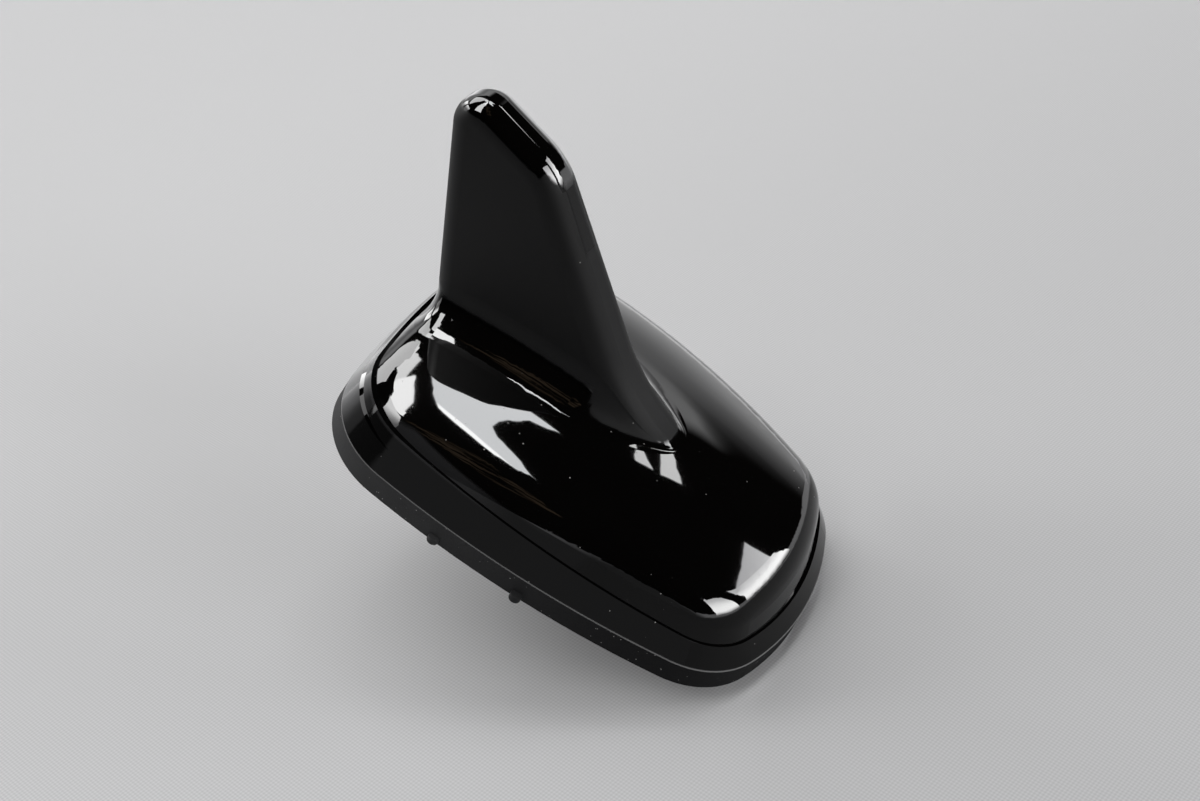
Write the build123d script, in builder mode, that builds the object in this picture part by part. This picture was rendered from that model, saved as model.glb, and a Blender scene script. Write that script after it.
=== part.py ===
from build123d import *
import os
from math import tan, radians, cos, sin

# Vehicle roof aerial of the shark fin kind, in millimetres.
# +X points to the nose, +Z is up, and the origin is on the stud's axis in the plane of the roof.

# Base length and width along the seal line, and the share of the length that lies behind the stud
base_l = 91.95
base_w = 71.0
rear_share = 0.479

# Plan outline: a bowed four-sided core, rounded outwards by the corner radius
side_tuck = 0.85
nose_taper = 4.6
bow_side = 2.05
bow_rear = 1.1
bow_front = 2.25
corner_r = 17.4
core_rear = base_l * rear_share - bow_rear - corner_r
core_front = base_l * (1 - rear_share) - bow_front - corner_r
core_half_rear = base_w / 2 - side_tuck - corner_r
core_half_front = core_half_rear - nose_taper

# Rubber seal
seal_h = 4.3
seal_web = 2.0
seal_rim = 3.3
seal_flare = 0.5
seal_hole_d = 23.0
seal_screw_gap = 0.7
nib_r = 1.1
nib_h = 1.3
nib_rear_x = -12.7
nib_rear_in = 0.15
nib_front_x = 4.6
nib_front_in = 0.55
nib_rear_y = nib_rear_in - base_w / 2
nib_front_y = nib_front_in - base_w / 2

# Cover: the skirt slopes in up to a fine step, which falls towards the nose
step_z = 10.35
step_angle = 3.75
skirt_inset = 2.9
step_w = 0.5
wall = 2.4
body_draft = 28.0
body_under = 3.0
body_h = 18.0
shoulder_r = 8.0
dome_tail_l = 48.0
dome_nose_l = 52.0
dome_rear_z = 14.5
dome_mid_x = 2.0
dome_mid_z = 20.1
dome_front_z = 12.4
crown_r = 70.0

# Fin side profile: straight trailing edge, top and leading edge, round corners, and a flared foot in front
fin_h = 61.17
fin_top_l = 22.6
tail_out = 12.26
tail_foot_z = 11.3
tail_lean = 16.9
top_slope = 14.0
lead_slope = 46.0
tip_r = 5.5
brow_r = 15.0
flare_z = 30.0
flare_x = 22.0
flare_end_z = 18.2
fin_t_top = 9.6
fin_t_foot = 12.2
fin_wedge_h = 62.0
fin_edge_r = 4.0
root_r = 8.0

# Floor, bosses, posts and screws
floor_gap = 0.2
floor_h = 3.0
floor_edge_r = 0.6
boss_d = 6.4
boss_rear_out = 5.4
boss_front_out = 5.2
boss_rear_side = 3.75
boss_front_side = 2.85
boss_reach = 30.0
cover_screw_d = 3.0
cover_screw_l = 8.0
cover_head_d = 5.6
cover_head_h = 1.5
cover_hole_gap = 0.2
pilot_gap = 0.05
pilot_over = 0.8
post_d = 5.0
post_h = 3.0
post_rear_in = 1.55
post_front_in = 1.75
post_side_in = 0.75
board_screw_d = 2.0
board_screw_l = 5.2
board_head_d = 3.8
board_head_h = 1.3
board_hole_gap = 0.2

# Stud, collar and grommet
stud_d = 12.0
stud_neck_d = 12.4
stud_l = 25.0
stud_flange_d = 19.0
stud_flange_h = 1.2
stud_bore_d = 8.0
stud_chamfer = 0.8
collar_side = 15.2
collar_below = 2.4
collar_corner_r = 2.0
grommet_l = 8.0
grommet_up = 1.0
lead_d = 2.8
lead_pitch = 3.6

# Boards and what they carry
board_end = 3.0
board_side = 3.5
board_t = 1.6
board_corner_r = 3.0
patch_x = 15.0
patch_side = 18.0
patch_t = 4.0
patch_corner_r = 1.2
pad_side = 17.0
pad_t = 0.4
electrode_side = 14.0
electrode_t = 0.1
feed_x = 2.0
feed_d = 0.8
feed_gap = 0.1
feed_tail = 0.8
feed_head = 0.3
can_gap = 1.6
can_side_in = 2.0
can_l = 20.0
can_w = 12.0
can_h = 3.0
can_t = 0.25
fence_h = 1.8
fence_t = 0.3
fin_board_t = 1.0
fin_board_rear = -25.0
fin_board_front = -6.0
fin_board_gap = 1.4
fin_board_neck_z = 16.0
fin_board_tail_z = 20.0
fin_board_chin_z = 25.0
fin_board_brow_drop = 12.7
fin_board_top_drop = 8.7
radiator_t = 0.2
radiator_w = 2.4
radiator_l = 21.0
radiator_pitch = 5.6
radiator_foot_z = 12.0
radiator_low_z = 24.0
radiator_stem_x = -17.0
radiator_end_x = -33.0
bracket_t = 0.4
bracket_w = 4.0
bracket_h = 3.2
bracket_foot = 3.0
bracket_rear_x = -20.0
bracket_front_x = -10.0
big_chip = 6.0
big_chip_h = 0.9
small_chip = 4.0
small_chip_h = 0.8
chip_rear_in = 12.0
chip_side_in = 9.0
chip_pitch = 11.0
ferrule_d = 2.5
ferrule_wall = 0.4
ferrule_l = 7.0
ferrule_x = 15.0
ferrule_y = 6.0

floor_top = seal_web + floor_h
board_z = floor_top + post_h
board_top = board_z + board_t
pad_top = board_top + pad_t
patch_top = pad_top + patch_t
step_fall = tan(radians(step_angle))
step_plane = Plane(origin=(0, 0, step_z), x_dir=(1, 0, -step_fall), z_dir=(step_fall, 0, 1))
boss_rear_x = -core_rear - boss_rear_out
boss_front_x = core_front + boss_front_out
boss_rear_y = core_half_rear + boss_rear_side
boss_front_y = core_half_front + boss_front_side
post_rear_x = post_rear_in - core_rear
post_front_x = core_front - post_front_in
post_y = core_half_rear - post_side_in
board_rear = post_rear_x - board_end
board_front = post_front_x + board_end
board_half_w = post_y + board_side
can_x = post_rear_x + board_head_d / 2 + can_gap + can_l / 2
can_y = board_half_w - can_side_in - can_w / 2
chip_x = board_rear + chip_rear_in
chip_y = chip_side_in - board_half_w
boss_points = [(boss_rear_x, boss_rear_y), (boss_rear_x, -boss_rear_y)]
boss_points += [(boss_front_x, boss_front_y), (boss_front_x, -boss_front_y)]
post_points = [(post_rear_x, post_y), (post_rear_x, -post_y)]
post_points += [(post_front_x, post_y), (post_front_x, -post_y)]
tail_foot_x = -core_rear - tail_out
top_tip_x = tail_foot_x - (fin_h - tail_foot_z) * tan(radians(tail_lean))
brow_x = top_tip_x + fin_top_l
brow_z = fin_h - fin_top_l * tan(radians(top_slope))
fin_board_brow_z = fin_h - fin_board_brow_drop
fin_board_top_z = fin_h - fin_board_top_drop
body_spread = body_under * tan(radians(body_draft))
body_plane = step_plane.offset(-body_under)


def tail_x(z):
    # The trailing edge's place at a height
    return tail_foot_x - (z - tail_foot_z) * tan(radians(tail_lean))


def lead_x(z):
    # The leading edge's place at a height
    return brow_x + (brow_z - z) / tan(radians(lead_slope))


def plan_outline(plane, grow):
    # The base's plan shape on a plane, grown outwards or inwards from the seal line
    with BuildSketch(plane) as outline:
        with BuildLine():
            mid_x = (core_front - core_rear) / 2
            mid_y = (core_half_rear + core_half_front) / 2 + bow_side
            rear_right = (-core_rear, -core_half_rear)
            rear_left = (-core_rear, core_half_rear)
            front_right = (core_front, -core_half_front)
            front_left = (core_front, core_half_front)
            ThreePointArc(rear_left, (-core_rear - bow_rear, 0), rear_right)
            ThreePointArc(rear_right, (mid_x, -mid_y), front_right)
            ThreePointArc(front_right, (core_front + bow_front, 0), front_left)
            ThreePointArc(front_left, (mid_x, mid_y), rear_left)
        make_face()
        offset(amount=corner_r + grow, kind=Kind.ARC)
    return outline.sketch


def dome_profile(drop):
    # The crowned top in side view, lowered by the wall where it bounds the hollow
    with BuildSketch(Plane.XZ) as profile:
        with BuildLine():
            rear = (-dome_tail_l, dome_rear_z - drop)
            front = (dome_nose_l, dome_front_z - drop)
            ThreePointArc(rear, (dome_mid_x, dome_mid_z - drop), front)
            Polyline(front, (dome_nose_l, 0), (-dome_tail_l, 0), rear)
        make_face()
    return profile.sketch


def fin_profile(inset):
    # The fin in side view, drawn inwards by the wall where it bounds the hollow
    with BuildSketch(Plane.XZ) as profile:
        with BuildLine():
            foot = (tail_foot_x, tail_foot_z)
            flare_start = (lead_x(flare_z), flare_z)
            flare_end = (flare_x, flare_end_z)
            Polyline((flare_x, tail_foot_z), foot, (top_tip_x, fin_h), (brow_x, brow_z), flare_start)
            TangentArc(flare_start, flare_end, tangent=(1, -tan(radians(lead_slope))))
            Line(flare_end, (flare_x, tail_foot_z))
        make_face()
        fillet(profile.vertices().group_by(Axis.Y)[-1], radius=tip_r)
        fillet(profile.vertices().filter_by_position(Axis.X, brow_x - 0.5, brow_x + 0.5), radius=brow_r)
        if inset > 0:
            offset(amount=-inset)
    return profile.sketch


def fin_wedge(inset):
    # The fin's thickness seen from the front, tapering slightly to the top
    with BuildSketch(Plane.YZ) as wedge:
        with BuildLine():
            foot = fin_t_foot / 2 - inset
            top = fin_t_top / 2 - inset
            Polyline((-foot, 0), (foot, 0), (top, fin_wedge_h), (-top, fin_wedge_h), close=True)
        make_face()
    return wedge.sketch


# Pillow body above the step: drafted walls, a crowned top that falls to the nose, and a rolled shoulder
with BuildPart() as upper_body:
    extrude(plan_outline(body_plane, body_spread - skirt_inset - step_w), amount=body_h, taper=body_draft)
    revolve(dome_profile(0), axis=Axis((0, 0, -crown_r), (1, 0, 0)), mode=Mode.INTERSECT)
    fillet(upper_body.faces().sort_by(Axis.Z)[-1].edges(), radius=shoulder_r)

# Fin with rolled edges
with BuildPart() as fin:
    extrude(fin_profile(0), amount=fin_t_foot, both=True)
    extrude(fin_wedge(0), amount=base_l, both=True, mode=Mode.INTERSECT)
    right_rim = fin.faces().sort_by(Axis.Y)[0].edges().sort_by(Axis.Z)[1:]
    left_rim = fin.faces().sort_by(Axis.Y)[-1].edges().sort_by(Axis.Z)[1:]
    fillet(right_rim + left_rim, radius=fin_edge_r)

# The hollow of the body and of the fin
with BuildPart() as upper_hollow:
    hollow_inset = skirt_inset + step_w + wall
    extrude(plan_outline(body_plane, body_spread - hollow_inset), amount=body_h, taper=body_draft)
    revolve(dome_profile(wall), axis=Axis((0, 0, -crown_r), (1, 0, 0)), mode=Mode.INTERSECT)

with BuildPart() as fin_hollow:
    extrude(fin_profile(wall), amount=fin_t_foot, both=True)
    extrude(fin_wedge(wall), amount=base_l, both=True, mode=Mode.INTERSECT)

# Whole hollow, interrupted by the four screw bosses that hang from the roof of the cover
with BuildPart() as hollow:
    loft(
        [plan_outline(Plane.XY.offset(seal_h), -wall), plan_outline(step_plane, -skirt_inset - wall)],
        ruled=True,
    )
    add(upper_hollow.part)
    add(fin_hollow.part)
    with BuildSketch(Plane.XY.offset(floor_top)):
        with Locations(*boss_points):
            Circle(boss_d / 2)
    extrude(amount=boss_reach, mode=Mode.SUBTRACT)

# Cover: one moulding of skirt, body and fin, with the fin's root blended into the crowned top
with BuildPart() as fin_cover:
    loft([plan_outline(Plane.XY.offset(seal_h), 0), plan_outline(step_plane, -skirt_inset)], ruled=True)
    add(upper_body.part)
    add(fin.part)
    fillet(fin_cover.edges(Select.NEW), radius=root_r)
    add(hollow.part, mode=Mode.SUBTRACT)
    with BuildSketch(Plane.XY.offset(floor_top)):
        with Locations(*boss_points):
            Circle(cover_screw_d / 2 + pilot_gap)
    extrude(amount=seal_web + cover_screw_l - floor_top + pilot_over, mode=Mode.SUBTRACT)

# Seal: a web under the floor and a rim that the cover's edge sits on, with two flash nibs on the right
with BuildPart() as base_seal:
    loft(
        [plan_outline(Plane.XY, seal_flare), plan_outline(Plane.XY.offset(seal_h), 0)],
        ruled=True,
    )
    extrude(plan_outline(Plane.XY.offset(seal_web), -seal_rim), amount=seal_h, mode=Mode.SUBTRACT)
    with BuildSketch(Plane.XY):
        with Locations((nib_rear_x, nib_rear_y), (nib_front_x, nib_front_y)):
            Circle(nib_r)
    extrude(amount=nib_h)
    with BuildSketch(Plane.XY):
        Circle(seal_hole_d / 2)
        with Locations(*boss_points):
            Circle(cover_head_d / 2 + seal_screw_gap)
    extrude(amount=seal_web, mode=Mode.SUBTRACT)

# Die-cast floor with the board's posts
with BuildPart() as base_plate:
    extrude(plan_outline(Plane.XY.offset(seal_web), -seal_rim - floor_gap), amount=floor_h)
    fillet(base_plate.faces().sort_by(Axis.Z)[-1].edges(), radius=floor_edge_r)
    with BuildSketch(Plane.XY.offset(floor_top)):
        with Locations(*post_points):
            Circle(post_d / 2)
    extrude(amount=post_h)
    with BuildSketch(Plane.XY.offset(seal_web)):
        Circle(stud_neck_d / 2)
        with Locations(*boss_points):
            Circle(cover_screw_d / 2 + cover_hole_gap)
    extrude(amount=floor_h, mode=Mode.SUBTRACT)
    with BuildSketch(Plane.XY.offset(board_z)):
        with Locations(*post_points):
            Circle(board_screw_d / 2 + pilot_gap)
    extrude(amount=-(board_screw_l - board_t + pilot_over), mode=Mode.SUBTRACT)

# Hollow stud with a flange on the floor and a chamfered end
with BuildPart() as roof_stud:
    with BuildSketch(Plane.XZ):
        with BuildLine():
            Polyline(
                (stud_bore_d / 2, -stud_l),
                (stud_d / 2 - stud_chamfer, -stud_l),
                (stud_d / 2, -stud_l + stud_chamfer),
                (stud_d / 2, -collar_below),
                (stud_neck_d / 2, -collar_below),
                (stud_neck_d / 2, floor_top),
                (stud_flange_d / 2, floor_top),
                (stud_flange_d / 2, floor_top + stud_flange_h),
                (stud_bore_d / 2, floor_top + stud_flange_h),
                close=True,
            )
        make_face()
    revolve(axis=Axis.Z)

# Square collar that keys into the roof hole
with BuildPart() as locating_collar:
    with BuildSketch(Plane.XY.offset(-collar_below)):
        RectangleRounded(collar_side, collar_side, collar_corner_r)
        Circle(stud_neck_d / 2, mode=Mode.SUBTRACT)
    extrude(amount=collar_below + seal_web)

# Grommet in the stud's bore, with a hole for each lead
with BuildPart() as cable_grommet:
    with BuildSketch(Plane.XY.offset(-stud_l + grommet_up)):
        Circle(stud_bore_d / 2)
        with GridLocations(lead_pitch, 0, 2, 1):
            Circle(lead_d / 2, mode=Mode.SUBTRACT)
    extrude(amount=grommet_l)

# Four cover screws, heads below the floor
with BuildPart() as cover_screws:
    with BuildSketch(Plane.XY.offset(seal_web)):
        with Locations(*boss_points):
            Circle(cover_head_d / 2)
    extrude(amount=-cover_head_h)
    with BuildSketch(Plane.XY.offset(seal_web)):
        with Locations(*boss_points):
            Circle(cover_screw_d / 2)
    extrude(amount=cover_screw_l)

# Main circuit board on its posts
with BuildPart() as main_board:
    with BuildSketch(Plane.XY.offset(board_z)):
        with Locations(((board_front + board_rear) / 2, 0)):
            RectangleRounded(board_front - board_rear, 2 * board_half_w, board_corner_r)
        with Locations(*post_points):
            Circle(board_screw_d / 2 + board_hole_gap, mode=Mode.SUBTRACT)
        with Locations((patch_x + feed_x, 0)):
            Circle(feed_d / 2, mode=Mode.SUBTRACT)
    extrude(amount=board_t)

# Four board screws
with BuildPart() as board_screws:
    with BuildSketch(Plane.XY.offset(board_top)):
        with Locations(*post_points):
            Circle(board_head_d / 2)
    extrude(amount=board_head_h)
    with BuildSketch(Plane.XY.offset(board_top)):
        with Locations(*post_points):
            Circle(board_screw_d / 2)
    extrude(amount=-board_screw_l)

# Satellite patch: adhesive pad, ceramic tile, silver face and feed pin
with BuildPart() as patch_pad:
    with BuildSketch(Plane.XY.offset(board_top)):
        with Locations((patch_x, 0)):
            Rectangle(pad_side, pad_side)
        with Locations((patch_x + feed_x, 0)):
            Circle(feed_d / 2 + feed_gap, mode=Mode.SUBTRACT)
    extrude(amount=pad_t)

with BuildPart() as satellite_patch:
    with BuildSketch(Plane.XY.offset(pad_top)):
        with Locations((patch_x, 0)):
            RectangleRounded(patch_side, patch_side, patch_corner_r)
        with Locations((patch_x + feed_x, 0)):
            Circle(feed_d / 2 + feed_gap, mode=Mode.SUBTRACT)
    extrude(amount=patch_t)

with BuildPart() as patch_electrode:
    with BuildSketch(Plane.XY.offset(patch_top)):
        with Locations((patch_x, 0)):
            Rectangle(electrode_side, electrode_side)
        with Locations((patch_x + feed_x, 0)):
            Circle(feed_d / 2, mode=Mode.SUBTRACT)
    extrude(amount=electrode_t)

with BuildPart() as patch_feed_pin:
    with BuildSketch(Plane.XY.offset(board_z - feed_tail)):
        with Locations((patch_x + feed_x, 0)):
            Circle(feed_d / 2)
    extrude(amount=patch_top + electrode_t - board_z + feed_tail + feed_head)

# Shield can over the amplifier, and the fence it snaps over
with BuildPart() as shield_can:
    with BuildSketch(Plane.XY.offset(board_top)):
        with Locations((can_x, can_y)):
            RectangleRounded(can_l, can_w, 3 * can_t)
    extrude(amount=can_h)
    with BuildSketch(Plane.XY.offset(board_top)):
        with Locations((can_x, can_y)):
            RectangleRounded(can_l - 2 * can_t, can_w - 2 * can_t, 2 * can_t)
    extrude(amount=can_h - can_t, mode=Mode.SUBTRACT)

with BuildPart() as shield_frame:
    with BuildSketch(Plane.XY.offset(board_top)):
        with Locations((can_x, can_y)):
            RectangleRounded(can_l - 2 * can_t, can_w - 2 * can_t, 2 * can_t)
            Rectangle(can_l - 2 * can_t - 2 * fence_t, can_w - 2 * can_t - 2 * fence_t, mode=Mode.SUBTRACT)
    extrude(amount=fence_h)

# Upright board inside the fin, its strip radiator and its two brackets
with BuildPart() as fin_board:
    with BuildSketch(Plane.XZ):
        with BuildLine():
            tail_in = wall / cos(radians(tail_lean)) + fin_board_gap
            lead_in = wall / sin(radians(lead_slope)) + fin_board_gap
            Polyline(
                (fin_board_rear, board_top),
                (fin_board_front, board_top),
                (fin_board_front, fin_board_chin_z),
                (lead_x(fin_board_brow_z) - lead_in, fin_board_brow_z),
                (lead_x(fin_board_top_z) - lead_in, fin_board_top_z),
                (tail_x(fin_board_top_z) + tail_in, fin_board_top_z),
                (tail_x(fin_board_tail_z) + tail_in, fin_board_tail_z),
                (fin_board_rear, fin_board_neck_z),
                close=True,
            )
        make_face()
    extrude(amount=fin_board_t / 2, both=True)

with BuildPart() as fin_radiator:
    with BuildSketch(Plane.XZ.offset(fin_board_t / 2)):
        with Locations((radiator_stem_x, (radiator_foot_z + radiator_low_z) / 2)):
            Rectangle(radiator_w, radiator_low_z - radiator_foot_z + radiator_w)
        with Locations((radiator_end_x + radiator_l / 2, radiator_low_z)):
            Rectangle(radiator_l, radiator_w)
        with Locations((radiator_end_x + radiator_l / 2, radiator_low_z + radiator_pitch)):
            Rectangle(radiator_l, radiator_w)
        with Locations((radiator_end_x + radiator_w / 2, radiator_low_z + radiator_pitch / 2)):
            Rectangle(radiator_w, radiator_pitch + radiator_w)
    extrude(amount=radiator_t)

with BuildPart() as fin_brackets:
    with BuildSketch(Plane.YZ.offset(bracket_rear_x - bracket_w / 2)):
        with BuildLine():
            near = fin_board_t / 2
            Polyline(
                (near, board_top),
                (near + bracket_foot, board_top),
                (near + bracket_foot, board_top + bracket_t),
                (near + bracket_t, board_top + bracket_t),
                (near + bracket_t, board_top + bracket_h),
                (near, board_top + bracket_h),
                close=True,
            )
        make_face()
    extrude(amount=bracket_w)
    second = fin_brackets.part.moved(Location((bracket_front_x - bracket_rear_x, 0, 0)))
    add(second)

# Chips on the other half of the board
with BuildPart() as amplifier_chips:
    with BuildSketch(Plane.XY.offset(board_top)):
        with Locations((chip_x, chip_y)):
            Rectangle(big_chip, big_chip)
    extrude(amount=big_chip_h)
    with BuildSketch(Plane.XY.offset(board_top)):
        with Locations((chip_x + chip_pitch, chip_y)):
            Rectangle(small_chip, small_chip)
    extrude(amount=small_chip_h)

# Crimped ferrules under the board, where the leads start
with BuildPart() as coax_ferrules:
    with BuildSketch(Plane.YZ.offset(ferrule_x - ferrule_l / 2)):
        with Locations((ferrule_y, board_z - ferrule_d / 2), (-ferrule_y, board_z - ferrule_d / 2)):
            Circle(ferrule_d / 2)
            Circle(ferrule_d / 2 - ferrule_wall, mode=Mode.SUBTRACT)
    extrude(amount=ferrule_l)

fin_cover.part.label = "fin_cover"
base_seal.part.label = "base_seal"
base_plate.part.label = "base_plate"
roof_stud.part.label = "roof_stud"
locating_collar.part.label = "locating_collar"
cable_grommet.part.label = "cable_grommet"
cover_screws.part.label = "cover_screws"
main_board.part.label = "main_board"
board_screws.part.label = "board_screws"
patch_pad.part.label = "patch_pad"
satellite_patch.part.label = "satellite_patch"
patch_electrode.part.label = "patch_electrode"
patch_feed_pin.part.label = "patch_feed_pin"
shield_can.part.label = "shield_can"
shield_frame.part.label = "shield_frame"
fin_board.part.label = "fin_board"
fin_radiator.part.label = "fin_radiator"
fin_brackets.part.label = "fin_brackets"
amplifier_chips.part.label = "amplifier_chips"
coax_ferrules.part.label = "coax_ferrules"

os.makedirs("parts", exist_ok=True)
export_step(fin_cover.part, "parts/fin_cover.step")
export_step(base_seal.part, "parts/base_seal.step")
export_step(base_plate.part, "parts/base_plate.step")
export_step(roof_stud.part, "parts/roof_stud.step")
export_step(locating_collar.part, "parts/locating_collar.step")
export_step(cable_grommet.part, "parts/cable_grommet.step")
export_step(cover_screws.part, "parts/cover_screws.step")
export_step(main_board.part, "parts/main_board.step")
export_step(board_screws.part, "parts/board_screws.step")
export_step(patch_pad.part, "parts/patch_pad.step")
export_step(satellite_patch.part, "parts/satellite_patch.step")
export_step(patch_electrode.part, "parts/patch_electrode.step")
export_step(patch_feed_pin.part, "parts/patch_feed_pin.step")
export_step(shield_can.part, "parts/shield_can.step")
export_step(shield_frame.part, "parts/shield_frame.step")
export_step(fin_board.part, "parts/fin_board.step")
export_step(fin_radiator.part, "parts/fin_radiator.step")
export_step(fin_brackets.part, "parts/fin_brackets.step")
export_step(amplifier_chips.part, "parts/amplifier_chips.step")
export_step(coax_ferrules.part, "parts/coax_ferrules.step")
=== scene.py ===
import bpy
import math
from mathutils import Matrix, Vector


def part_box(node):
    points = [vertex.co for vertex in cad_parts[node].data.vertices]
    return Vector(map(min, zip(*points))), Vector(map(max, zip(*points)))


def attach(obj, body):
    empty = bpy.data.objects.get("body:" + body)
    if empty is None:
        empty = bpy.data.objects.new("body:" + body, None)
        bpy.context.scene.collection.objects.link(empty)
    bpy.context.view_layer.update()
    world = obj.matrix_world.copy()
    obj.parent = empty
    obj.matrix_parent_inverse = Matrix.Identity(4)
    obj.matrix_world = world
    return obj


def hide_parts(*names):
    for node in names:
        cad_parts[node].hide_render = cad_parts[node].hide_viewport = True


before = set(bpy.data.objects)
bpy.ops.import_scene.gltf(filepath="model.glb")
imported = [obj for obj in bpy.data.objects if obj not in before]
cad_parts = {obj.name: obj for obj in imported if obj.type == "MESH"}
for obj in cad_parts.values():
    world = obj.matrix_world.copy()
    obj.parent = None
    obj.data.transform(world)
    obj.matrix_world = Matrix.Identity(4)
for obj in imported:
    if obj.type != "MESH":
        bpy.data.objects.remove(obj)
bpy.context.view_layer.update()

# Floor of the aerial: a zinc die casting that carries the boards and closes the cover from below.
# Its grey skin has a fine cast grain, faint flow marks and a little dull oxide.

MM = 0.001


class Wire:
    # One output of a finish's nodes; sums written on wires add the Math nodes

    def __init__(self, tree, socket=None):
        self.tree = tree
        self.socket = socket

    def node(self, kind, settings=None, sockets=None, out=0):
        made = self.tree.nodes.new(kind)
        for name, value in (settings or {}).items():
            setattr(made, name, value)
        for name, value in (sockets or {}).items():
            if isinstance(value, Wire):
                self.tree.links.new(value.socket, made.inputs[name])
            else:
                made.inputs[name].default_value = value
        return Wire(self.tree, made.outputs[out])

    def sum(self, operation, *values):
        return self.node("ShaderNodeMath", {"operation": operation}, dict(enumerate(values)))

    def __add__(self, other):
        return self.sum("ADD", self, other)

    def __radd__(self, other):
        return self.sum("ADD", other, self)

    def __sub__(self, other):
        return self.sum("SUBTRACT", self, other)

    def __rsub__(self, other):
        return self.sum("SUBTRACT", other, self)

    def __mul__(self, other):
        return self.sum("MULTIPLY", self, other)

    def __rmul__(self, other):
        return self.sum("MULTIPLY", other, self)

    def __truediv__(self, other):
        return self.sum("DIVIDE", self, other)

    def __rtruediv__(self, other):
        return self.sum("DIVIDE", other, self)

    def most(self, other):
        # The larger of the two
        return self.sum("MAXIMUM", self, other)

    def wave(self):
        # The sine of this wire, in radians
        return self.sum("SINE", self)

    def rise(self, low, high):
        # 0 below low, 1 above high, smooth between
        sockets = {"Value": self, "From Min": low, "From Max": high}
        return self.node("ShaderNodeMapRange", {"interpolation_type": "SMOOTHSTEP"}, sockets)

    def blend(self, colour_0, colour_1):
        # A colour between two, by this wire
        sockets = {0: self, 6: colour_0, 7: colour_1}
        return self.node("ShaderNodeMix", {"data_type": "RGBA"}, sockets, out=2)

    def part(self, axis):
        # One of a vector's three numbers: 0, 1 or 2
        return self.node("ShaderNodeSeparateXYZ", None, {0: self}, out=axis)

    def vector(self, operation, other, out=0):
        sockets = {0: self, 1: tuple(other)}
        return self.node("ShaderNodeVectorMath", {"operation": operation}, sockets, out)

    def along(self, direction):
        # How far a vector reaches in a direction
        return self.vector("DOT_PRODUCT", direction, out="Value")

    def away_from(self, point):
        return self.vector("DISTANCE", point, out="Value")

    def stretched(self, x, y, z):
        return self.vector("MULTIPLY", (x, y, z))

    def noise(self, grain, detail=3.0):
        # Cloudy noise about 0.5, its lumps about the grain across, in metres
        sockets = {"Vector": self, "Scale": 1 / grain, "Detail": detail}
        return self.node("ShaderNodeTexNoise", None, sockets, out="Fac")

    def cells(self, grain, feature="F1"):
        # Distance to the nearest of scattered points, or to the edge between two of their cells
        sockets = {"Vector": self, "Scale": 1 / grain}
        return self.node("ShaderNodeTexVoronoi", {"feature": feature}, sockets, out="Distance")


def begin_finish(name):
    # A new material: its shader, and the wire of places on the object in metres
    made = bpy.data.materials.new(name)
    made.use_nodes = True
    shader = made.node_tree.nodes["Principled BSDF"]
    place = Wire(made.node_tree).node("ShaderNodeTexCoord", out="Object")
    return made, shader, place


def feed(shader, **sockets):
    # Sets or links the shader's sockets; Base_Color stands for Base Color
    for name, value in sockets.items():
        socket = shader.inputs[name.replace("_", " ")]
        if isinstance(value, Wire):
            value.tree.links.new(value.socket, socket)
        else:
            socket.default_value = value


def rough_skin(shader, height, depth):
    # Fine relief from a height wire; depth in metres
    sockets = {"Strength": 1.0, "Distance": depth, "Height": height}
    feed(shader, Normal=height.node("ShaderNodeBump", None, sockets))


def dress(node_name, finish):
    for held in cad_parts[node_name].material_slots:
        held.material = finish


dark_zinc, pale_zinc = (0.40, 0.41, 0.42, 1), (0.60, 0.61, 0.62, 1)
oxide_grey = (0.30, 0.30, 0.31, 1)
zinc_casting, shader, place = begin_finish("zinc_casting")
grain = place.noise(0.35 * MM)
flow = place.stretched(0.3, 1, 1).noise(4 * MM, 5.0)
oxide = place.noise(7 * MM, 4.0).rise(0.5, 0.72)
skin = flow.blend(dark_zinc, pale_zinc)
feed(shader, Base_Color=oxide.blend(skin, oxide_grey), Metallic=1.0)
feed(shader, Roughness=0.34 + 0.22 * flow + 0.2 * oxide)
rough_skin(shader, grain, 0.06 * MM)
dress("base_plate", zinc_casting)

# Threaded stud: turned from bar and plated, hollow for the leads, its flange seated on the floor.
# The roof nut pulls down on its metric thread, which runs out below the square collar.

stud_low, stud_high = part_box("roof_stud")
stud_bore, stud_crest, stud_root = 4.0 * MM, 6.0 * MM, 5.05 * MM
stud_neck, stud_flange = 6.2 * MM, stud_high.x
stud_chamfer, bore_chamfer, flange_chamfer = 0.8 * MM, 0.2 * MM, 0.15 * MM
neck_foot, flange_foot = -2.4 * MM, stud_high.z - 1.2 * MM
thread_pitch, thread_steps, stud_around = 1.75 * MM, 9, 96
thread_low, thread_high = stud_low.z + stud_chamfer, -3.0 * MM
thread_flank, thread_root_flat = 1.35, 0.15
turned_crease = math.radians(32)


def lathe(name, rings, around):
    # A closed turned piece; each ring is a height and either a radius or a radius by turn
    points, faces = [], []
    for height, radius in rings:
        for k in range(around):
            turn = k / around
            r = radius(turn) if callable(radius) else radius
            angle = 2 * math.pi * turn
            points.append((r * math.cos(angle), r * math.sin(angle), height))
    for j in range(len(rings)):
        low, high = j * around, (j + 1) % len(rings) * around
        for k in range(around):
            near = (k + 1) % around
            faces.append((low + k, low + near, high + near, high + k))
    mesh = bpy.data.meshes.new(name)
    mesh.from_pydata(points, [], faces)
    mesh.shade_smooth()
    mesh.set_sharp_from_angle(angle=turned_crease)
    made = bpy.data.objects.new(name, mesh)
    bpy.context.scene.collection.objects.link(made)
    return made


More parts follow.
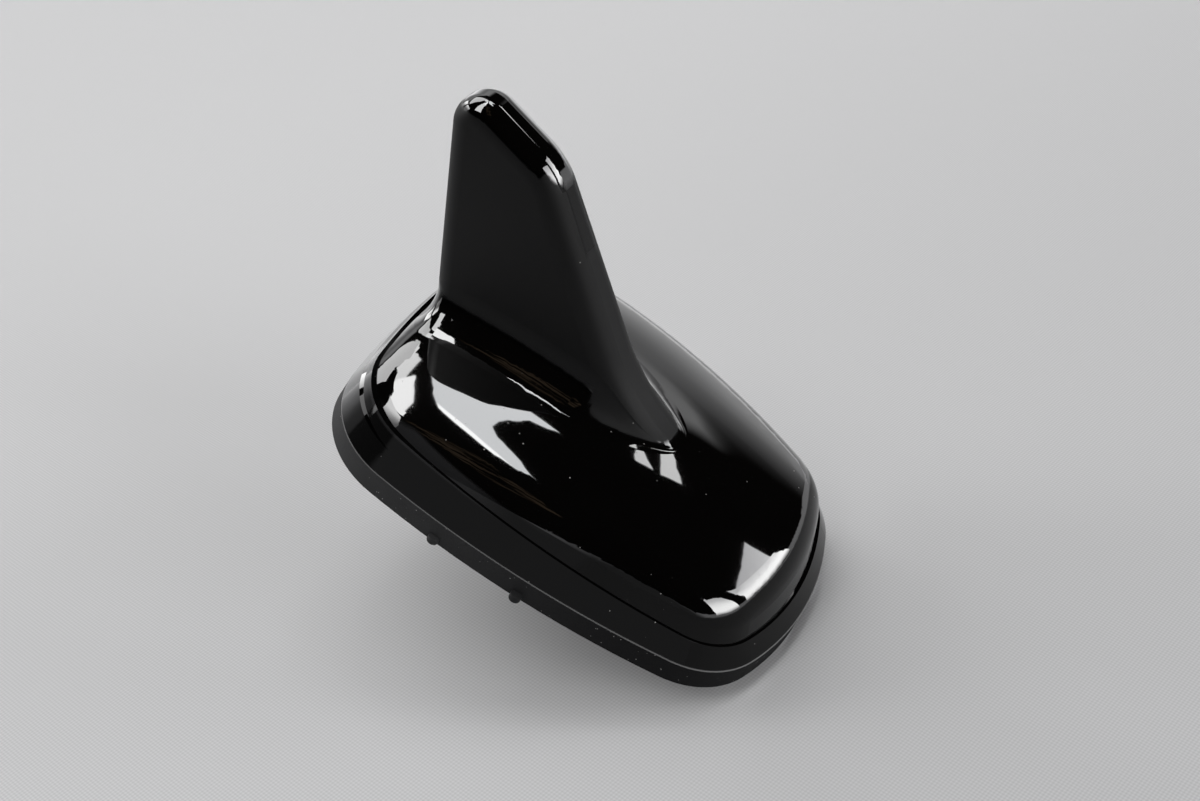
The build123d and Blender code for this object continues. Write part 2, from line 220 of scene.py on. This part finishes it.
def thread_ring(height):
    # The thread's radius round the stud at one height, fading where the thread runs out
    fade = min(1.0, (height - thread_low) / thread_pitch, (thread_high - height) / thread_pitch)

    def radius(turn):
        wave = abs(2 * ((height / thread_pitch - turn) % 1) - 1)
        groove = 1 - min(1.0, max(0.0, thread_flank * wave - thread_root_flat))
        return stud_crest - (stud_crest - stud_root) * groove * max(0.0, fade)

    return height, radius


rings = [(stud_low.z, stud_bore), (stud_low.z, stud_crest - stud_chamfer)]
thread_rows = round((thread_high - thread_low) / thread_pitch * thread_steps)
for row in range(thread_rows + 1):
    rings.append(thread_ring(thread_low + (thread_high - thread_low) * row / thread_rows))
rings += [(neck_foot, stud_crest), (neck_foot, stud_neck), (flange_foot, stud_neck)]
rings += [(flange_foot, stud_flange - flange_chamfer), (flange_foot + flange_chamfer, stud_flange)]
rings += [(stud_high.z - flange_chamfer, stud_flange), (stud_high.z, stud_flange - flange_chamfer)]
rings += [(stud_high.z, stud_bore + bore_chamfer), (stud_high.z - bore_chamfer, stud_bore)]
stud_thread = lathe("stud_thread", rings, stud_around)
dark_plating, pale_plating = (0.50, 0.49, 0.45, 1), (0.66, 0.65, 0.62, 1)
stud_metal, shader, place = begin_finish("stud_metal")
smear = place.noise(2.5 * MM, 4.0)
turned = place.stretched(1, 1, 30).noise(1.2 * MM, 2.0)
feed(shader, Base_Color=smear.blend(dark_plating, pale_plating), Metallic=1.0)
feed(shader, Roughness=0.22 + 0.2 * smear + 0.1 * turned)
rough_skin(shader, turned, 0.02 * MM)
stud_thread.data.materials.append(stud_metal)
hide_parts("roof_stud")
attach(stud_thread, "root")

# Square collar: black nylon, moulded, slipped over the stud's neck to key the aerial into the roof.
# The finish is a fine even spark texture.

dark_nylon, pale_nylon = (0.012, 0.012, 0.013, 1), (0.026, 0.026, 0.027, 1)
collar_plastic, shader, place = begin_finish("collar_plastic")
spark = place.noise(0.12 * MM, 2.0)
feed(shader, Base_Color=place.noise(3 * MM).blend(dark_nylon, pale_nylon))
feed(shader, Roughness=0.42 + 0.2 * spark)
rough_skin(shader, spark, 0.03 * MM)
dress("locating_collar", collar_plastic)

# Grommet: a soft rubber plug pressed into the stud's bore, with a hole for each lead.
# Dull black, with a bloom of pale talc left from moulding.

plug_black, talc_grey = (0.014, 0.014, 0.014, 1), (0.07, 0.07, 0.068, 1)
grommet_rubber, shader, place = begin_finish("grommet_rubber")
talc = place.noise(1.2 * MM, 5.0).rise(0.5, 0.75)
feed(shader, Base_Color=talc.blend(plug_black, talc_grey))
feed(shader, Roughness=0.72 + 0.15 * talc)
rough_skin(shader, place.noise(0.2 * MM), 0.04 * MM)
dress("cable_grommet", grommet_rubber)

# Seal: a moulded rubber gasket between the aerial and the roof, with a rim that the cover sits on.
# Matt charcoal, finely pitted, with pale lint caught along its edge; painted shade darkens it
# towards the nose.

dark_charcoal, pale_charcoal = (0.030, 0.030, 0.031, 1), (0.041, 0.041, 0.042, 1)
nose_shade_charcoal, lint_grey = (0.0035, 0.0035, 0.004, 1), (0.32, 0.315, 0.31, 1)
seal_rubber, shader, place = begin_finish("seal_rubber")
pits = place.noise(0.22 * MM, 3.0)
cloud = place.noise(5 * MM, 4.0)
lint = 1 - place.cells(0.9 * MM).rise(0.06, 0.14)
lint = lint * place.noise(1.6 * MM, 1.0).rise(0.52, 0.62)
charcoal = cloud.blend(dark_charcoal, pale_charcoal)
# Painted shade: the rubber's colour darkens towards the nose
charcoal = place.part(0).rise(-40 * MM, 30 * MM).blend(charcoal, nose_shade_charcoal)
feed(shader, Base_Color=lint.blend(charcoal, lint_grey))
feed(shader, Roughness=0.58 + 0.2 * pits, Specular_IOR_Level=0.15)
rough_skin(shader, pits, 0.05 * MM)
dress("base_seal", seal_rubber)

# Main board: glass laminate with a green solder mask over copper tracks, on the floor's four posts.
# The mask is glossy, and stands slightly proud where a track runs under it.

dark_mask, pale_mask = (0.006, 0.050, 0.020, 1), (0.010, 0.075, 0.030, 1)
dark_track, pale_track = (0.020, 0.130, 0.055, 1), (0.028, 0.155, 0.065, 1)
board_laminate, shader, place = begin_finish("board_laminate")
tracks = place.cells(3.2 * MM, "DISTANCE_TO_EDGE").rise(0.05, 0.075)
weave = place.stretched(1, 1, 0.2).noise(0.5 * MM, 1.0)
mask_green = weave.blend(dark_mask, pale_mask)
track_green = weave.blend(dark_track, pale_track)
feed(shader, Base_Color=tracks.blend(track_green, mask_green))
feed(shader, Roughness=0.25 + 0.12 * weave)
rough_skin(shader, 1 - tracks, 0.03 * MM)
dress("main_board", board_laminate)

# Board screws: four small steel screws, zinc plated, that clamp the main board to its posts.
# The plating is bright with a faint turned grain.

dark_steel, pale_steel = (0.50, 0.50, 0.50, 1), (0.68, 0.68, 0.67, 1)
screw_steel, shader, place = begin_finish("screw_steel")
smear = place.noise(1.1 * MM, 4.0)
feed(shader, Base_Color=smear.blend(dark_steel, pale_steel), Metallic=1.0)
feed(shader, Roughness=0.2 + 0.25 * smear)
rough_skin(shader, place.stretched(1, 1, 12).noise(0.5 * MM), 0.02 * MM)
dress("board_screws", screw_steel)

# Adhesive pad: die-cut acrylic foam tape that holds the ceramic tile to the board.
# Off-white, with an open fine cell.

dark_foam, pale_foam = (0.50, 0.49, 0.45, 1), (0.68, 0.67, 0.63, 1)
adhesive_pad, shader, place = begin_finish("adhesive_pad")
foam = place.cells(0.18 * MM)
feed(shader, Base_Color=foam.rise(0, 0.6).blend(dark_foam, pale_foam))
feed(shader, Roughness=0.85 + 0.1 * foam)
rough_skin(shader, foam, 0.03 * MM)
dress("patch_pad", adhesive_pad)

# Satellite patch: a pressed and fired ceramic tile, ground flat on both faces.
# Warm ivory with fine dark specks and a dull eggshell face.

dark_ivory, pale_ivory = (0.56, 0.49, 0.38, 1), (0.66, 0.59, 0.48, 1)
speck_brown = (0.22, 0.18, 0.13, 1)
patch_ceramic, shader, place = begin_finish("patch_ceramic")
specks = 1 - place.cells(0.5 * MM).rise(0.08, 0.16)
ivory = place.noise(2.5 * MM).blend(dark_ivory, pale_ivory)
feed(shader, Base_Color=(0.6 * specks).blend(ivory, speck_brown))
feed(shader, Roughness=0.5 + 0.2 * place.noise(0.4 * MM))
rough_skin(shader, place.noise(0.1 * MM), 0.02 * MM)
dress("satellite_patch", patch_ceramic)

# Patch face: silver paste, screen printed on the tile and fired.
# Matt white metal with a fine, uneven grain.

dark_silver, pale_silver = (0.70, 0.69, 0.66, 1), (0.84, 0.83, 0.80, 1)
silver_face, shader, place = begin_finish("silver_face")
paste = place.noise(0.3 * MM, 2.0)
feed(shader, Base_Color=paste.blend(dark_silver, pale_silver), Metallic=1.0)
feed(shader, Roughness=0.42 + 0.16 * paste)
rough_skin(shader, paste, 0.02 * MM)
dress("patch_electrode", silver_face)

# Feed pin, shield fence, can, brackets and ferrules: thin tinned metal, stamped or drawn.
# The tin is soft and pale, with wiping marks, and dull in patches where flux has been.

dark_tin, pale_tin = (0.58, 0.58, 0.57, 1), (0.74, 0.74, 0.73, 1)
flux_grey = (0.46, 0.44, 0.40, 1)
tinned_metal, shader, place = begin_finish("tinned_metal")
wiped = place.stretched(0.15, 1, 1).noise(0.7 * MM, 4.0)
flux = place.noise(3 * MM, 4.0).rise(0.55, 0.75)
tin = wiped.blend(dark_tin, pale_tin)
feed(shader, Base_Color=flux.blend(tin, flux_grey), Metallic=1.0)
feed(shader, Roughness=0.24 + 0.14 * wiped + 0.2 * flux)
rough_skin(shader, wiped, 0.02 * MM)
for name in ("patch_feed_pin", "shield_frame", "shield_can", "fin_brackets", "coax_ferrules"):
    dress(name, tinned_metal)

# Amplifier chips: black moulded resin on the main board, between the fence and the edge.
# The resin has a satin spark finish.

dark_resin, pale_resin = (0.016, 0.016, 0.017, 1), (0.030, 0.030, 0.031, 1)
chip_resin, shader, place = begin_finish("chip_resin")
spark = place.noise(0.09 * MM, 2.0)
feed(shader, Base_Color=place.noise(1.5 * MM).blend(dark_resin, pale_resin))
feed(shader, Roughness=0.5 + 0.2 * spark)
rough_skin(shader, spark, 0.015 * MM)
dress("amplifier_chips", chip_resin)

# Fin board and its radiator: a thin upright laminate held by the brackets, with a strip of copper.
# The copper is bare and has begun to dull.

dress("fin_board", board_laminate)
bright_copper, dull_copper = (0.80, 0.42, 0.27, 1), (0.46, 0.22, 0.13, 1)
copper_strip, shader, place = begin_finish("copper_strip")
dull = place.noise(1.8 * MM, 5.0).rise(0.4, 0.7)
feed(shader, Base_Color=dull.blend(bright_copper, dull_copper), Metallic=1.0)
feed(shader, Roughness=0.22 + 0.25 * dull)
rough_skin(shader, place.stretched(0.1, 1, 1).noise(0.3 * MM), 0.01 * MM)
dress("fin_radiator", copper_strip)

# Cover: a single black plastic moulding of skirt, pillow body and fin, lacquered to a deep gloss.
# The lacquer is thin on the skirt and the fin's sides; the pale band along the lower edge is a
# painted highlight.
# A few pale dust specks lie on it, and faint wiping marks cross it.

step_fall, wall_fall = 0.0655, 0.051
nose_turn = (-0.195, -0.3475, 1)
deep_black, soft_black = (0.0005, 0.0005, 0.0005, 1), (0.0009, 0.0009, 0.0009, 1)
# Painted reflection: greys for the fin's sides in place of the pale table they mirror, lighter low
# down
low_reflection_grey, high_reflection_grey = (0.0048, 0.0048, 0.005, 1), (0.0012, 0.0012, 0.0013, 1)
# Painted reflection grey for the wall above the step, and painted highlight grey for the cover's
# lower edge
wall_reflection_grey, edge_highlight_grey = (0.014, 0.014, 0.0145, 1), (0.13, 0.13, 0.13, 1)
dust_grey = (0.30, 0.295, 0.285, 1)
gloss_black, shader, place = begin_finish("gloss_black")
normal = place.node("ShaderNodeNewGeometry", out="Normal")
length, height = place.part(0), place.part(2)
forward, nearward, facing = normal.part(0), -1 * normal.part(1), normal.part(2)
dust = 1 - place.cells(2.3 * MM).rise(0.03, 0.065)
dust = dust * place.noise(6 * MM, 2.0).rise(0.50, 0.58) * facing.rise(0.2, 0.6)
# The regions: the lower edge's band of painted highlight, above the step, the fin, its leading edge
# and its flared front foot
edge_highlight = 1 - height.rise(4.42 * MM, 4.58 * MM)
over_step = (height + step_fall * length).rise(10.2 * MM, 10.5 * MM)
on_fin = height.rise(20 * MM, 22 * MM)
leading = forward.rise(0.2, 0.4) * on_fin
foot = forward.rise(0.12, 0.18) * (1 - length.rise(14 * MM, 17 * MM))
foot = foot * height.rise(19.9 * MM, 20.3 * MM) * (1 - height.rise(42 * MM, 46 * MM))
# The wall just above the step on the right, the body's right front, its nose and its rear
wall_height = height + wall_fall * length
wall = wall_height.rise(10.1 * MM, 10.5 * MM) * nearward.rise(0.45, 0.6)
wall = wall * (1 - wall_height.rise(12.0 * MM, 12.5 * MM))
near_front = nearward.rise(0.6, 0.75) * length.rise(0, 25 * MM)
nose = forward.rise(0.3, 0.38) * length.rise(24 * MM, 28 * MM)
rear = (-1 * forward).rise(0.62, 0.82) * (1 - on_fin)
# The lacquer lies on what faces up, and on the rear
polish_low = 0.45 + 0.25 * leading + 0.12 * near_front
polish_high = 0.56 + 0.2 * leading + 0.09 * near_front
polish = facing.rise(polish_low, polish_high)
polish = polish * (1 - nose * (1 - normal.along(nose_turn).rise(0.765, 0.80)))
polish = (polish * over_step * (1 - foot) * (1 - wall)).most(rear)
fin_side = (1 - facing.rise(0.3 + 0.36 * leading, 0.5 + 0.22 * leading)) * on_fin
fin_side = fin_side.most(foot)
black = place.noise(9 * MM).blend(deep_black, soft_black)
# Painted reflection: the fin's sides and foot are coloured grey for the pale table they mirror,
# lighter low down
fin_reflection_grey = height.rise(20 * MM, 62 * MM).blend(low_reflection_grey, high_reflection_grey)
satin_and_reflection = fin_side.blend(black, fin_reflection_grey)
# Painted reflection: the wall above the step at the rear is coloured grey for the pale table it
# mirrors
satin_and_reflection = (wall * (1 - length.rise(-14 * MM, -2 * MM))).blend(satin_and_reflection, wall_reflection_grey)
# Painted highlight: a pale grey band along the cover's lower edge
with_edge_highlight = edge_highlight.blend(satin_and_reflection, edge_highlight_grey)
feed(shader, Base_Color=dust.blend(with_edge_highlight, dust_grey))
wiping = place.stretched(1, 0.25, 1).noise(0.6 * MM, 5.0)
haze = place.noise(8 * MM, 3.0).rise(0.45, 0.8)
smear = 0.02 + 0.02 * haze + 0.015 * wiping
feed(shader, Roughness=smear + 0.5 * fin_side + 0.5 * dust + 0.4 * edge_highlight)
feed(shader, IOR=1.5, Specular_IOR_Level=0.2)
feed(shader, Coat_Weight=polish * (1 - dust), Coat_IOR=2.0, Coat_Roughness=0.03)
ripple = place.noise(6 * MM, 1.0)
rough_skin(shader, ripple, 0.012 * MM)
dress("fin_cover", gloss_black)

# Cover screws: four plated steel screws, driven up through the floor into the cover's bosses.
# Same steel and plating as the board's screws.

dress("cover_screws", screw_steel)

# Table: a pale grey card under the aerial, which lies tipped on its nose edge and its stud's end.
# The card has a fine woven face with painted shade darkening it towards the near right, shows only
# from above, and thins out to nothing at its edges.

CAMERA_BACK = Vector((0.0790, -0.7203, 0.6891))
card_gap, card_half = 0.1 * MM, 1.3
card_fade_from, card_fade_to = 0.7, 1.25
nose_reach = 48.3 * MM
nose_edge = Vector((nose_reach, 0, -card_gap))
stud_edge = Vector((stud_crest - stud_chamfer, 0, stud_low.z - card_gap))
TABLE_UP = (nose_edge - stud_edge).cross(Vector((0, 1, 0))).normalized()
TABLE_NEAR = (CAMERA_BACK - TABLE_UP * CAMERA_BACK.dot(TABLE_UP)).normalized()
TABLE_RIGHT = TABLE_UP.cross(TABLE_NEAR)
corners = []
for near, right in ((-1, -1), (1, -1), (1, 1), (-1, 1)):
    corners.append(stud_edge + card_half * (near * TABLE_NEAR + right * TABLE_RIGHT))
mesh = bpy.data.meshes.new("table_card")
mesh.from_pydata(corners, [], [(0, 1, 2, 3)])
table_card = bpy.data.objects.new("table_card", mesh)
bpy.context.scene.collection.objects.link(table_card)
weave_turn = 7000.0
pale_crest, shaded_crest = (0.62, 0.62, 0.625, 1), (0.48, 0.48, 0.485, 1)
pale_hollow, shaded_hollow = (0.497, 0.497, 0.502, 1), (0.383, 0.383, 0.388, 1)
card_finish, shader, place = begin_finish("pale_card")
rightward = place.along(TABLE_NEAR + TABLE_RIGHT)
weft = (rightward * weave_turn).wave()
warp = (place.along(TABLE_NEAR - TABLE_RIGHT) * weave_turn).wave()
cloth = 0.5 + 0.25 * (weft + warp)
# Painted shade: the card's colour darkens towards the near right
painted_falloff = rightward.rise(-0.35, 0.35)
high_thread = painted_falloff.blend(pale_crest, shaded_crest)
low_thread = painted_falloff.blend(pale_hollow, shaded_hollow)
feed(shader, Base_Color=cloth.blend(low_thread, high_thread), Roughness=0.8)
feed(shader, Specular_IOR_Level=0.2)
under = place.node("ShaderNodeNewGeometry", out="Backfacing")
thin = place.away_from(stud_edge).rise(card_fade_from, card_fade_to).most(under)
clear = place.node("ShaderNodeBsdfTransparent")
face = Wire(card_finish.node_tree, shader.outputs[0])
seen = place.node("ShaderNodeMixShader", None, {0: thin, 1: face, 2: clear})
output = card_finish.node_tree.nodes["Material Output"]
card_finish.node_tree.links.new(seen.socket, output.inputs["Surface"])
table_card.data.materials.append(card_finish)

# Surroundings: a dim room with a pale sweep behind the table, and window-like light boxes.
# Directions are in the room's own frame, tipped a little less than the card.
# They are an azimuth from the camera's side to the right, and an elevation.

ROOM_UP = Vector((-0.4229, 0.0, 0.9062))
ROOM_NEAR = (CAMERA_BACK - ROOM_UP * CAMERA_BACK.dot(ROOM_UP)).normalized()
ROOM_RIGHT = ROOM_UP.cross(ROOM_NEAR)
panel_away = 12.0
light_level = 6.3
white = (1, 1, 1, 1)


def at_angles(azimuth, elevation):
    a, e = math.radians(azimuth), math.radians(elevation)
    level = math.cos(a) * ROOM_NEAR + math.sin(a) * ROOM_RIGHT
    return math.cos(e) * level + math.sin(e) * ROOM_UP


def on_ceiling(near, right):
    # Towards a spot on a ceiling one unit up
    return (near * ROOM_NEAR + right * ROOM_RIGHT + ROOM_UP).normalized()


def light_box(name, share, corners, shade=None):
    # A glowing panel far off in the corners' directions, white or shaded by a function of place
    mesh = bpy.data.meshes.new(name)
    points = [panel_away * corner for corner in corners]
    mesh.from_pydata(points, [], [tuple(range(len(points)))])
    panel = bpy.data.objects.new(name, mesh)
    bpy.context.scene.collection.objects.link(panel)
    panel.visible_camera = False
    glow = bpy.data.materials.new(name)
    glow.use_nodes = True
    glow.node_tree.nodes.clear()
    place = Wire(glow.node_tree).node("ShaderNodeTexCoord", out="Object")
    colour = shade(place) if shade else white
    light = place.node("ShaderNodeEmission", None, {0: colour, 1: share * light_level})
    output = glow.node_tree.nodes.new("ShaderNodeOutputMaterial")
    glow.node_tree.links.new(light.socket, output.inputs["Surface"])
    mesh.materials.append(glow)


def angle_box(name, share, left, right, low, high_left, high_right, shade=None):
    # A window between two azimuths, with a level sill and a sloping head
    ends = ((left, low), (right, low), (right, high_right), (left, high_left))
    light_box(name, share, [at_angles(*end) for end in ends], shade)


def ceiling_box(name, share, *spots, shade=None):
    light_box(name, share, [on_ceiling(*spot) for spot in spots], shade)


def dim_foot(place):
    # The right windows are brightest low down, and fade out towards their sills
    height = place.along(ROOM_UP / panel_away)
    top = height.rise(0.26, 0.6).blend(white, (0.45, 0.45, 0.46, 1))
    return height.rise(0.04, 0.22).blend((0, 0, 0, 1), top)


def bright_rim(place):
    # The split window is greyer inside than along its sill
    height = place.along(ROOM_UP)
    inward = place.along(0.744 * ROOM_NEAR - 0.668 * ROOM_RIGHT) / height + 0.2227
    return inward.rise(-0.017, -0.011).blend((0.58, 0.59, 0.60, 1), white)


def warm_streaks(place):
    # Furniture in the dim room, seen only as brown streaks
    streaks = place.stretched(0.05, 0.4, 1).noise(0.35, 3.0).rise(0.45, 0.62)
    return streaks.blend((0.02, 0.015, 0.01, 1), (1.0, 0.72, 0.48, 1))


angle_box("right_window_near", 1.0, 40, 72, 2.5, 34, 35, shade=dim_foot)
angle_box("right_window_far", 1.0, 82, 107, 2.5, 39, 34, shade=dim_foot)
ceiling_box(
    "split_window", 1.2,
    (-0.413, 0.165), (-0.42, 0.30), (-0.345, 0.405), (-0.303, 0.503), (-0.289, 0.412),
    (-0.243, 0.345), (-0.21, 0.311), (-0.174, 0.289), (-0.137, 0.297), (-0.10, 0.333),
    (-0.006, 0.393), (-0.039, 0.29), (-0.084, 0.233), (-0.128, 0.181), (-0.171, 0.143),
    (-0.263, 0.141), (-0.332, 0.145),
    shade=bright_rim,
)
ceiling_box(
    "rear_lamp_low", 0.75,
    (-0.224, 0.056), (-0.384, 0.125), (-0.554, 0.029), (-0.484, -0.059), (-0.357, -0.07),
)
ceiling_box(
    "rear_lamp_high", 0.5,
    (-0.554, 0.029), (-0.444, 0.031), (-0.284, -0.316), (-0.502, -1.128), (-0.761, -1.087),
    (-1.15, -0.56),
)
ceiling_box(
    "overhead_lamp", 1.0,
    (-0.289, 0.1), (-0.157, 0.08), (0.057, -0.04), (0.072, -0.099), (-0.067, -0.144),
)
ceiling_box(
    "left_lamp", 0.72,
    (0.419, -0.987), (0.799, -0.602), (0.145, -0.13), (-0.127, -0.095),
)
angle_box("left_window_far", 0.75, -139, -122, 7, 26, 33)
angle_box("left_window_near", 0.75, -113, -88, 6, 34, 36)
ceiling_box(
    "front_lamp_near", 0.6,
    (-0.423, 0.868), (-0.41, 0.79), (-0.438, 0.79), (-0.55, 0.83),
)
ceiling_box(
    "front_lamp_far", 0.6,
    (-0.70, 0.964), (-0.66, 1.025), (-0.475, 1.025), (-0.423, 0.906), (-0.536, 0.925),
)
ceiling_box(
    "warm_room", 0.02,
    (0.14, -0.11), (0.14, 0.17), (0.95, 0.2), (0.95, -0.11),
    shade=warm_streaks,
)
dim, pale = (0.005, 0.004, 0.0035, 1), (0.55, 0.55, 0.56, 1)
sweep_foot, sweep_middle = (1.3, 1.3, 1.31, 1), (0.4, 0.4, 0.405, 1)
sweep_top = (0.66, 0.66, 0.665, 1)
doorway_middle = at_angles(-74, 0)
room = bpy.data.worlds.new("studio")
bpy.context.scene.world = room
room.use_nodes = True
room.node_tree.nodes.clear()
look = Wire(room.node_tree).node("ShaderNodeTexCoord", out="Generated")
high = look.along(ROOM_UP)
# The sweep stands behind the table, wider at its top; a pale band runs low round the other walls
upper = high.rise(0.38, 0.47)
behind = (-1 * look.along(ROOM_NEAR)).rise(0.58 - 0.03 * upper, 0.80 - 0.18 * upper)
behind = behind * (1 - high.rise(0.54, 0.60))
doorway = look.along(doorway_middle).rise(0.90, 0.94) * high.rise(-0.02, 0.02)
low_band = 1 - high.rise(0.14, 0.17).most(0.88 * doorway)
sweep = high.rise(0.0, 0.36).blend(sweep_foot, sweep_middle)
sweep = upper.blend(sweep, sweep_top)
wall_colour = behind.blend(low_band.blend(dim, pale), sweep)
walls = look.node("ShaderNodeBackground", None, {0: wall_colour})
backdrop = look.node("ShaderNodeBackground", None, {0: pale})
# Beyond the card's edges the camera meets a plain backdrop; gloss meets some of it in the low band
direct = look.node("ShaderNodeLightPath", out="Is Camera Ray")
through = look.node("ShaderNodeLightPath", out="Is Transmission Ray")
mirrored = look.node("ShaderNodeLightPath", out="Is Glossy Ray") * low_band * (1 - behind)
plain = direct.most(through).most(mirrored)
shown = look.node("ShaderNodeMixShader", None, {0: plain, 1: walls, 2: backdrop})
output = room.node_tree.nodes.new("ShaderNodeOutputWorld")
room.node_tree.links.new(shown.socket, output.inputs["Surface"])

# Camera: stands in front of the aerial's right side and above it, rolled with the table.
# A normal lens on a full-frame sensor, with no shift.

camera_place = Vector((18.24, -206.83, 214.44)) * MM
camera_right = Vector((0.8084, 0.4508, 0.3785))
camera_up = CAMERA_BACK.cross(camera_right)
sensor_mm, lens_mm = 36.0, 47.59
nearest, farthest = 0.01, 20.0
camera = bpy.data.objects.new("camera", bpy.data.cameras.new("camera"))
bpy.context.scene.collection.objects.link(camera)
camera.data.sensor_width = sensor_mm
camera.data.lens = lens_mm
camera.data.clip_start, camera.data.clip_end = nearest, farthest
turn = Matrix((camera_right, camera_up, CAMERA_BACK)).transposed()
camera.matrix_world = Matrix.Translation(camera_place) @ turn.to_4x4()
bpy.context.scene.camera = camera
bpy.context.scene.view_settings.view_transform = "Standard"
